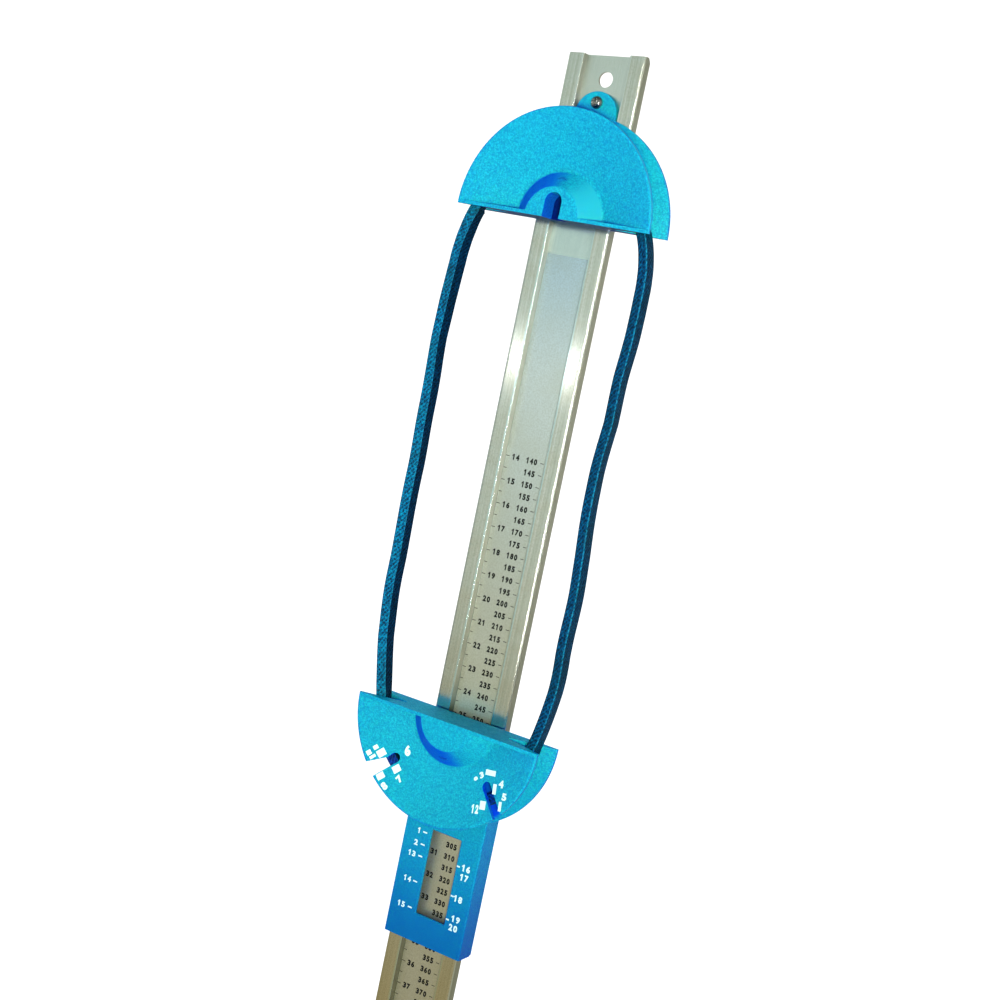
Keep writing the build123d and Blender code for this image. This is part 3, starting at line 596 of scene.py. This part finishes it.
class Decal:
    """Flat prints on a plane y = const, gathered into one thin mesh."""

    def __init__(self, name, y, mat, body):
        self.name, self.y, self.mat, self.body = name, y, mat, body
        self.v, self.f = [], []

    def rect(self, x0, x1, z0, z1):
        k = len(self.v)
        self.v += [(x0, self.y, z0), (x1, self.y, z0), (x1, self.y, z1), (x0, self.y, z1)]
        self.f.append((k, k + 1, k + 2, k + 3))

    def text(self, body, x, z, height, width, bold=0.035):
        vs, fs = number_mesh(body, height, width, bold)
        k = len(self.v)
        self.v += [(x + a, self.y, z + b) for a, b in vs]
        self.f += [tuple(i + k for i in f) for f in fs]

    def make(self):
        o = new_mesh(self.name, [(a * MM, b * MM, c * MM) for a, b, c in self.v], self.f)
        bm = bmesh.new()
        bm.from_mesh(o.data)
        for f in bm.faces:
            f.normal_update()
            if f.normal.y > 0:
                f.normal_flip()
        bm.to_mesh(o.data)
        bm.free()
        o.data.materials.append(self.mat)
        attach(o, self.body)
        return o


label_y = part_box("scale_strip")[0].y / MM
scale = Decal("scale_print", label_y - 0.02, M_INK, "gauge_rail")
for u2 in range(28, 141):
    u = u2 / 2.0
    z = Z14 - (u - 14.0) * PITCH
    whole = u2 % 2 == 0
    scale.rect(-12.55, -10.45 if whole else -10.75, z - 0.16, z + 0.16)
    scale.rect(8.4, 10.4, z - 0.16, z + 0.16)
    if whole:
        scale.text(str(int(u)), -6.6, z, 3.2, 4.4, 0.055)
    scale.text(str(int(round(u * 10))), 3.1, z, 3.2, 6.6, 0.055)
scale_print = scale.make()

# ------------------------------------------------------------------ sleeve marks
sleeve_y = BACK_Y - 0.03
marks = Decal("sleeve_marks", sleeve_y, M_WHITE, "slider")
for code, x, z, w in (("1", -15.0, -402.8, 2.0), ("2", -15.5, -409.6, 2.3), ("13", -16.7, -416.1, 4.7),
                      ("14", -16.3, -430.2, 4.7), ("15", -16.9, -444.7, 4.7)):
    marks.rect(-12.5, -9.9, z - 0.42, z + 0.42)
    marks.text(code, x, z, 3.2, w, 0.05)
for z, rows in ((-413.4, ((17.4, -413.1, "16"), (17.4, -418.2, "17"))), (-429.8, ((16.4, -430.3, "18"),)),
                (-442.8, ((17.5, -441.2, "19"), (17.0, -446.1, "20")))):
    marks.rect(11.7, 13.6, z - 0.42, z + 0.42)
    for x, z1, code in rows:
        marks.text(code, x, z1, 3.7, 5.3, 0.05)
sleeve_marks = marks.make()


# ------------------------------------------------------------------ patches by the notches
def dish_y(r):
    """Front surface of the dish at radius r."""
    return DISH_Y + (FRONT_Y - DISH_Y) * (r - DISH_R) / (SHEAVE_R - 1.2 - DISH_R)


class DishPrint:
    """White prints that lie on a dished cone. Places are (x, z) in mm from the flat's centre."""

    def __init__(self, name, mat, body, zc):
        self.name, self.mat, self.body, self.zc = name, mat, body, zc
        self.v, self.f = [], []

    def add(self, vs, fs, cx, cz, ang):
        ca, sa = math.cos(math.radians(ang)), math.sin(math.radians(ang))
        k = len(self.v)
        for a, b in vs:
            x, z = cx + a * ca - b * sa, cz + a * sa + b * ca
            r = math.hypot(x, z)
            self.v.append((x, dish_y(r) - 0.045, z))
        self.f += [tuple(i + k for i in f) for f in fs]

    def block(self, cx, cz, w, h, ang):
        n = 5
        vs = [((i / n - 0.5) * w, (j / n - 0.5) * h) for j in range(n + 1) for i in range(n + 1)]
        fs = [(j * (n + 1) + i, j * (n + 1) + i + 1, (j + 1) * (n + 1) + i + 1, (j + 1) * (n + 1) + i)
              for j in range(n) for i in range(n)]
        self.add(vs, fs, cx, cz, ang)

    def number(self, body, cx, cz, w, h, ang):
        self.add(*number_mesh(body, h, w, 0.06), cx, cz, ang)

    def make(self):
        o = new_mesh(self.name, [(a * MM, b * MM, (c + self.zc) * MM) for a, b, c in self.v], self.f)
        bm = bmesh.new()
        bm.from_mesh(o.data)
        for f in bm.faces:
            f.normal_update()
            if f.normal.y > 0:
                f.normal_flip()
        bm.to_mesh(o.data)
        bm.free()
        o.data.materials.append(self.mat)
        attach(o, self.body)
        return o


notch = DishPrint("notch_marks", M_WHITE, "slider", SLIDE_FLAT)
# tapered notch: blocks along its two sides and small numbers behind them
for x, z, w, h in ((-36.0, -28.3, 4.6, 3.9), (-39.7, -26.3, 2.6, 2.2), (-42.4, -29.9, 2.6, 2.6),
                   (-39.9, -31.4, 3.4, 1.7), (-25.6, -34.0, 4.2, 3.8), (-32.6, -39.7, 4.2, 3.4)):
    notch.block(x, z, w, h, 45.6)
notch.number("7", -22.3, -38.3, 2.8, 3.8, 62.0)
notch.number("8", -28.9, -44.0, 2.8, 4.4, 58.0)
notch.number("6", -23.1, -23.6, 3.0, 5.6, 20.0)
# narrow notch
for x, z, w, h in ((28.2, -19.2, 6.8, 2.7), (33.7, -25.7, 2.3, 5.0), (40.3, -32.2, 1.9, 4.6),
                   (29.6, -35.4, 3.6, 4.2)):
    notch.block(x, z, w, h, {28.2: 10.0}.get(x, 46.9 - 35.0))
notch.number("9", 20.4, -25.4, 2.6, 3.2, 44.0)
notch.number("3", 22.9, -22.1, 2.6, 3.2, 40.0)
notch.number("4", 37.0, -21.9, 3.2, 3.8, 12.0)
notch.number("5", 41.2, -27.0, 3.0, 3.6, 12.0)
notch.number("12", 25.7, -38.6, 4.6, 4.4, 12.0)
notch_marks = notch.make()


# ------------------------------------------------------------------ the belt
def fillet_loop(pts, rad, step):
    """Closed polyline with rounded corners, sampled evenly. Points and radii in mm."""
    n = len(pts)
    P = [np.array(p, float) for p in pts]
    out = []
    for i in range(n):
        a, b, c = P[i - 1], P[i], P[(i + 1) % n]
        d1, d2 = (b - a) / np.linalg.norm(b - a), (c - b) / np.linalg.norm(c - b)
        turn = math.atan2(d1[0] * d2[1] - d1[1] * d2[0], float(d1 @ d2))
        t = rad[i] * math.tan(abs(turn) / 2)
        s = b - d1 * t
        side = np.array([-d1[1], d1[0]]) * (1 if turn > 0 else -1)
        cen = s + side * rad[i]
        k = max(2, int(abs(turn) * rad[i] / 0.5))
        for j in range(k + 1):
            ang = turn * j / k
            r = s - cen
            out.append(cen + np.array([r[0] * math.cos(ang) - r[1] * math.sin(ang),
                                       r[0] * math.sin(ang) + r[1] * math.cos(ang)]))
    out = np.array(out)
    seg = np.linalg.norm(np.roll(out, -1, 0) - out, axis=1)
    cum = np.concatenate([[0], np.cumsum(seg)])
    total = cum[-1]
    m = int(round(total / step))
    s = np.arange(m) * total / m
    closed = np.vstack([out, out[:1]])
    res = np.stack([np.interp(s, cum, closed[:, 0]), np.interp(s, cum, closed[:, 1])], 1)
    # ease the changes of curvature
    sig = 4.0 / (total / m)
    w = np.exp(-0.5 * (np.arange(-int(3 * sig), int(3 * sig) + 1) / sig) ** 2)
    w /= w.sum()
    h = len(w) // 2
    pad = np.vstack([res[-h:], res, res[:h]])
    sm = np.stack([np.convolve(pad[:, k], w, "valid") for k in range(2)], 1)
    return sm, total


zt = HEAD_FLAT + 41.2
zb = SLIDE_FLAT - 43.2
belt_pts = [
    (24.6, zt), (-24.6, zt), (-57.3, Z14 + 108.9), (-54.8, Z14 + 0.0), (-55.0, Z14 - 88.0),
    (-39.1, zb), (39.3, zb), (51.6, Z14 - 112.0), (51.6, Z14 - 58.0), (47.4, Z14 - 8.0),
    (54.7, Z14 + 110.0)]
belt_rad = [41.2, 41.2, 54.0, 800.0, 250.0, 45.3, 44.6, 200.0, 200.0, 300.0, 58.0]


def belt_section():
    """Cross-section of the wrapped belt: (across, outward) in mm, rounded corners."""
    w, wi, h = 9.7 / 2, 5.6 / 2, 5.6 / 2
    corners = [(-w, h), (w, h), (wi, -h), (-wi, -h)]
    r = [0.9, 0.9, 0.7, 0.7]
    out = []
    for i in range(4):
        a, b, c = (np.array(corners[(i + k) % 4], float) for k in (-1, 0, 1))
        d1, d2 = (b - a) / np.linalg.norm(b - a), (c - b) / np.linalg.norm(c - b)
        turn = math.atan2(d1[0] * d2[1] - d1[1] * d2[0], float(d1 @ d2))
        t = r[i] * math.tan(abs(turn) / 2)
        s = b - d1 * t
        side = np.array([-d1[1], d1[0]]) * (1 if turn > 0 else -1)
        cen = s + side * r[i]
        for j in range(6):
            ang = turn * j / 5
            q = s - cen
            out.append(cen + np.array([q[0] * math.cos(ang) - q[1] * math.sin(ang),
                                       q[0] * math.sin(ang) + q[1] * math.cos(ang)]))
    # even points between the corners so that the faces can dish and crown
    dense = []
    m = len(out)
    for i in range(m):
        a, b = out[i], out[(i + 1) % m]
        k = max(1, int(np.linalg.norm(b - a) / 0.8))
        for j in range(k):
            dense.append(a + (b - a) * j / k)
    dense = np.array(dense)
    for p in dense:
        if abs(p[1] - h) < 0.01:
            p[1] -= 0.10 * (p[0] / w) ** 2          # crowned back
        if abs(abs(p[0]) - (wi + (w - wi) * (p[1] + h) / (2 * h))) < 0.02 and abs(p[1]) < h - 0.6:
            p[0] -= math.copysign(0.10, p[0]) * (1 - (p[1] / h) ** 2)   # sides pulled in a little
    return dense


path, belt_total = fillet_loop(belt_pts, belt_rad, 1.0)
sec = belt_section()
N, K = len(path), len(sec)
tang = np.roll(path, -1, 0) - np.roll(path, 1, 0)
tang /= np.linalg.norm(tang, axis=1)[:, None]
area = 0.5 * np.sum(path[:, 0] * np.roll(path[:, 1], -1) - np.roll(path[:, 0], -1) * path[:, 1])
sgn = 1 if area > 0 else -1
outward = np.stack([tang[:, 1], -tang[:, 0]], 1) * sgn
girth = np.concatenate([[0], np.cumsum(np.linalg.norm(np.roll(sec, -1, 0) - sec, axis=1))])
# the slack runs roll so that their inner face turns to the front, and waver a little


def smooth(t):
    t = min(1.0, max(0.0, t))
    return t * t * (3 - 2 * t)


# how far each run stands out from the path, and its roll, down its length
OUT_Z = [-336.0, -329.0, -305.0, -286.0, -262.0, -236.0, -212.0, -193.0, -168.0, -144.0,
         -125.0, -113.0, -104.0, -95.0, -86.0, -76.0]
OUT_L = [0.0, 0.8, 1.7, 1.1, 0.6, 0.8, 0.6, 1.1, 1.7, 1.9, 0.9, -0.2, -1.0, -1.2, -1.0, -0.3]
ROLL_L = [0.0, 8.0, 11.0, 11.0, 11.0, 11.0, 11.0, 12.0, 14.0, 17.0, 20.0, 22.0, 23.0, 22.0, 18.0, 8.0]
OUT_R = [0.0, 0.6, 1.2, 0.8, 0.9, 1.5, 1.5, 1.5, 2.2, 1.0, 0.6, 0.2, -0.3, -0.5, -0.4, 0.0]
ROLL_R = [0.0, 2.0, 3.0, 3.0, 2.0, 2.0, 3.0, 4.0, 4.0, 3.0, 2.0, 2.0, 2.0, 2.0, 1.0, 0.0]

verts = []
for i in range(N):
    x, z = path[i]
    free = smooth((HEAD_FLAT - 2.0 - z) / 45.0) * smooth((z - SLIDE_FLAT - 6.0) / 45.0)
    side = 1.0 if x > 0 else -1.0
    run = -337.0 < z < -75.0
    roll = float(np.interp(z, OUT_Z, ROLL_R if x > 0 else ROLL_L)) if run else 0.0
    stand = float(np.interp(z, OUT_Z, OUT_R if x > 0 else OUT_L)) if run else 0.0
    phi = math.radians(roll + 1.5 * free * math.sin(z / 31.0 + side))
    cp, sp = math.cos(phi), math.sin(phi)
    shift = -(4.85 * sp + 2.8 * (cp - 1)) + stand + free * (0.08 * math.sin(z / 9.7 + 2.1 * side) - 0.1
                                                          + 0.06 * math.sin(z / 5.3 + side))
    sway = free * (0.35 * math.sin(z / 17.0 + 1.3 * side) + 0.2 * math.sin(z / 7.1))
    for j in range(K):
        a, o = sec[j]
        out = o * cp - a * sp + shift
        across = o * sp + a * cp + sway
        px = x + outward[i, 0] * out
        if px < -59.0:                       # the bulge of the left run is eased off at its widest
            px = -59.0 - 0.73 * (1.0 - math.exp((px + 59.0) / 0.73))
        verts.append((px * MM, (BELT_Y + across) * MM,
                      (z + outward[i, 1] * out) * MM))
faces = []
for i in range(N):
    for j in range(K):
        p, q = i * K + j, i * K + (j + 1) % K
        r, s = ((i + 1) % N) * K + (j + 1) % K, ((i + 1) % N) * K + j
        faces.append((p, q, r, s))
belt = new_mesh("belt_loop", verts, faces)
uv = belt.data.uv_layers.new(name="belt")
buf = np.zeros(len(belt.data.loops) * 2)
k = 0
for fi, poly in enumerate(belt.data.polygons):
    i, j = divmod(fi, K)
    along = (i * belt_total / N, (i + 1) * belt_total / N)
    round_ = (girth[j], girth[j + 1])
    for li in poly.loop_indices:
        vi = belt.data.loops[li].vertex_index
        ii, jj = divmod(vi, K)
        u = along[0] if ii == i else along[1]
        v = round_[0] if jj == j else round_[1]
        buf[2 * li], buf[2 * li + 1] = u, v
uv.data.foreach_set("uv", buf)
bm = bmesh.new()
bm.from_mesh(belt.data)
bmesh.ops.recalc_face_normals(bm, faces=bm.faces)
bm.to_mesh(belt.data)
bm.free()
belt.data.polygons.foreach_set("use_smooth", [True] * len(belt.data.polygons))
for mat in (M_BELT, M_BELT_IN, M_BELT_LIT_CORNER, M_BELT_OUT, M_BELT_SHADED_CORNER, M_BELT_SHADED_FLANK, M_BELT_GROOVE_SHADE):
    belt.data.materials.append(mat)
mids = (sec + np.roll(sec, -1, 0)) / 2
base = np.zeros(K, int)
base[mids[:, 1] < -2.55] = 1                                   # inner face
base[mids[:, 1] > 2.55] = 3                                    # back
outer = (mids[:, 1] > 2.1) & (mids[:, 1] < 2.74) & (np.abs(mids[:, 0]) > 4.0)       # outer corners
inner = (mids[:, 1] < -2.1) & (mids[:, 1] >= -2.74) & (np.abs(mids[:, 0]) > 2.2)    # inner corners
kinds = {}
for side in (-1, 1):
    k = base.copy()
    # the corners that face the light get a painted highlight and those that face away a painted shade: lit inner
    # and shaded outer corners on the left run, the other way round on the right run, whose flanks also get a
    # painted shade
    k[outer] = 4 if side < 0 else 2
    k[inner] = 2 if side < 0 else 4
    if side > 0:
        k[k == 0] = 5
    kinds[side] = k
groove_shaded = np.where(base == 0, 6, base)          # in the slider's groove the wrap's sides are painted a deep blue, as shade
belt.data.polygons.foreach_set("material_index", np.concatenate(
    [groove_shaded if path[i, 1] < SLIDE_FLAT - 12.0 else kinds[1 if path[i, 0] > 0 else -1]
     for i in range(N)]).astype(np.int32))
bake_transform(belt)
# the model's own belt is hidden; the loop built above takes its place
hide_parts("v_belt")

# ------------------------------------------------------------------ stage
ROOM_LOW = (0.30, 0.205, 0.055, 1)
ROOM_DOWN = (0.29, 0.285, 0.25, 1)
ROOM_MID = (0.43, 0.50, 0.46, 1)
ROOM_TOP = (0.12, 0.13, 0.13, 1)
ROOM_BACK = (0.42, 0.43, 0.38, 1)
ROOM_SIDE = (0.40, 0.42, 0.36, 1)
FILL = (0.012, 0.050, 0.90, 1)          # bluish light that fills the shadows
FILL_LOW = (0.012, 0.045, 0.82, 1)
FILL_TOP = (0.10, 0.46, 0.46, 1)

bpy.ops.mesh.primitive_circle_add(vertices=128, radius=40.0, fill_type="NGON", location=(0, 0, -1.045))
floor = bpy.context.object
floor.name = "floor"
floor.data.materials.append(M_FLOOR)
floor.visible_diffuse = False
floor.visible_glossy = False

world = bpy.data.worlds.new("studio")
bpy.context.scene.world = world
world.use_nodes = True
wn = world.node_tree
bg = wn.nodes["Background"]


def wnode(kind, **inp):
    n = wn.nodes.new(kind)
    for k, val in inp.items():
        n.inputs[k.replace("_", " ")].default_value = val
    return n


def wrange(value, lo, hi):
    n = wnode("ShaderNodeMapRange", From_Min=lo, From_Max=hi, To_Min=0.0, To_Max=1.0)
    n.interpolation_type = "SMOOTHSTEP"
    wn.links.new(value, n.inputs["Value"])
    return n.outputs[0]


def wmix(fac, a, b):
    n = wn.nodes.new("ShaderNodeMix")
    n.data_type = "RGBA"
    wn.links.new(fac, n.inputs[0])
    for sock, val in ((n.inputs[6], a), (n.inputs[7], b)):
        if hasattr(val, "is_linked"):
            wn.links.new(val, sock)
        else:
            sock.default_value = val
    return n.outputs[2]


# a plain white backdrop to the eye; the room that the metal mirrors is dim, with a
# darker, warmer half below and a dark ceiling; the light that fills shadows is weak and blue
tc = wn.nodes.new("ShaderNodeTexCoord")
sx = wn.nodes.new("ShaderNodeSeparateXYZ")
wn.links.new(tc.outputs["Generated"], sx.inputs[0])
X, Y, Z = sx.outputs
room = wmix(wrange(Z, -0.80, -0.48), ROOM_DOWN, ROOM_LOW)
room = wmix(wrange(Z, -0.60, 0.02), room, ROOM_MID)
room = wmix(wrange(Z, 0.30, 0.80), room, ROOM_TOP)
room = wmix(wrange(X, 0.62, 0.90), room, ROOM_SIDE)
room = wmix(wrange(Y, 0.45, 0.80), room, ROOM_BACK)
eye = wn.nodes.new("ShaderNodeLightPath")
fill = wmix(wrange(Z, 0.45, 0.85), wmix(wrange(Z, -0.5, 0.1), FILL_LOW, FILL), FILL_TOP)
room = wmix(eye.outputs["Is Diffuse Ray"], room, fill)
room = wmix(eye.outputs["Is Camera Ray"], room, (1.0, 1.0, 1.0, 1))
wn.links.new(room, bg.inputs[0])
bg.inputs[1].default_value = 1.0

CAM = Vector((0.40879606, -0.73824617, -0.12931232))
ROT = Matrix(((0.8406985591875604, -0.22777732585091817, 0.4912671599121651),
              (0.5027378523905057, -0.008770015962309967, -0.8643944346152416),
              (0.20119787363126443, 0.9736737526750044, 0.10713934383797713)))


def area(name, loc, aim, size, power, color=(1, 1, 1), size_y=None):
    li = bpy.data.lights.new(name, "AREA")
    li.energy = power
    li.color = color
    if size_y:
        li.shape = "RECTANGLE"
        li.size_y = size_y
    li.size = size
    o = link(bpy.data.objects.new(name, li))
    o.location = loc
    o.rotation_mode = "QUATERNION"
    o.rotation_quaternion = (Vector(aim) - Vector(loc)).to_track_quat("-Z", "Y")
    return o


def spot(name, loc, aim, radius, power, cone, color=(1, 1, 1)):
    li = bpy.data.lights.new(name, "SPOT")
    li.energy = power
    li.color = color
    li.shadow_soft_size = radius
    li.spot_size = math.radians(cone)
    li.spot_blend = 1.0
    o = link(bpy.data.objects.new(name, li))
    o.location = loc
    o.rotation_mode = "QUATERNION"
    o.rotation_quaternion = (Vector(aim) - Vector(loc)).to_track_quat("-Z", "Y")
    return o


flash = spot("flash", (0.50, -0.72, -0.166), (0.0, 0.0, -0.10), 0.036, 24.0, 62.0)
flash.visible_glossy = False
# the metal mirrors two lights of its own: a small one in the flat faces of the lips and
# a long upright tube in their rounded edges
glint = area("glint", (-0.405, -0.742, -0.163), (0.0, 0.0, -0.147), 0.14, 0.11, (1, 1, 1), 0.016)
glint.visible_diffuse = False
tube = area("tube", (0.50, -0.72, -0.17), (0.0, 0.0, -0.17), 0.02, 2.8, (1, 0.98, 0.93), 0.60)
tube.visible_diffuse = False
key = spot("key", (0.45, -0.78, -0.20), (0.0, 0.0, -0.25), 0.07, 32.0, 82.0, (1.0, 0.95, 0.10))
key.visible_glossy = False          # it lights the mouldings and the belt without striping the metal
# the rail's lower half, below the picture, where the slider may also stand
low = spot("low", (0.45, -0.78, -0.88), (0.0, 0.0, -0.88), 0.07, 46.0, 46.0, (1.0, 0.97, 0.50))
low.visible_glossy = False
rear = area("rear_fill", (-0.7, 1.1, 0.35), (0, 0, -0.35), 0.9, 14.0)
rear.visible_glossy = False
for o in (glint, tube, rear):
    o.visible_camera = False

cam_data = bpy.data.cameras.new("camera")
cam_data.sensor_fit = "HORIZONTAL"
cam_data.sensor_width = 36.0
cam_data.lens = 58.73207646
cam_data.clip_start, cam_data.clip_end = 0.02, 100.0
camera = link(bpy.data.objects.new("camera", cam_data))
camera.matrix_world = Matrix.Translation(CAM) @ ROT.to_4x4()
bpy.context.scene.camera = camera
bpy.context.scene.view_settings.view_transform = "Standard"
bpy.context.scene.view_settings.look = "Medium High Contrast"
